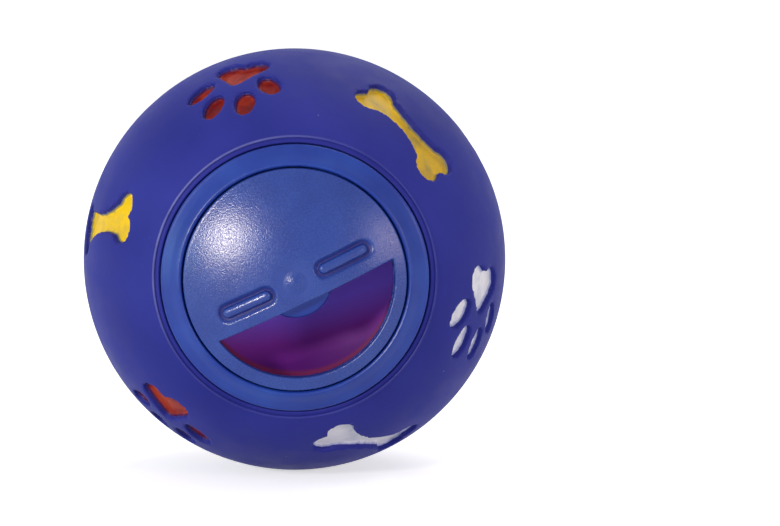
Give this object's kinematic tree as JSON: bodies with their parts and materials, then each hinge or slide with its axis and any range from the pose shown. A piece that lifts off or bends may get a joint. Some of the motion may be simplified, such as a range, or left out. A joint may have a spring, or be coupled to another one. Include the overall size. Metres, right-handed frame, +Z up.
{
  "type": "treat dispensing ball",
  "caption": "Hollow treat ball with recessed paw and bone motifs, a turning half-moon dial in its mouth and a labyrinth insert that slows the treats down.",
  "frame": {"origin": "centre of the ball", "axes": "-Y out of the mouth along the dial's axis, +Z up, +X to the right as seen from the mouth's side"},
  "size_m": [0.11, 0.1095, 0.11],
  "materials": {
    "ball_vinyl": "matt royal blue soft vinyl",
    "closure_plastic": "satin blue hard plastic",
    "dial_plastic": "fine spark-grained blue hard plastic",
    "insert_plastic": "smooth crimson plastic",
    "red_paint": "satin paint",
    "yellow_paint": "satin paint",
    "white_paint": "satin paint"
  },
  "bodies": {
    "ball": {"ball_shell": "ball_vinyl", "red_paw_paint": "red_paint", "yellow_bone_paint": "yellow_paint", "white_paw_paint": "white_paint", "white_bone_paint": "white_paint"},
    "closure": {"closure_body": "closure_plastic", "labyrinth_bowl": "insert_plastic", "labyrinth_tube": "insert_plastic", "baffle_stack": "insert_plastic", "end_cap": "insert_plastic"},
    "dial_unit": {"dial": "dial_plastic", "pivot_pin": "dial_plastic"}
  },
  "joints": [
    {"name": "closure_pull", "type": "slide", "parent": "ball", "child": "closure", "axis": [0, -1, 0], "range_m": [0, 0.1]},
    {"name": "dial_turn", "type": "hinge", "parent": "closure", "child": "dial_unit", "pos_m": [0, 0, 0], "axis": [0, -1, 0], "continuous": true}
  ]
}
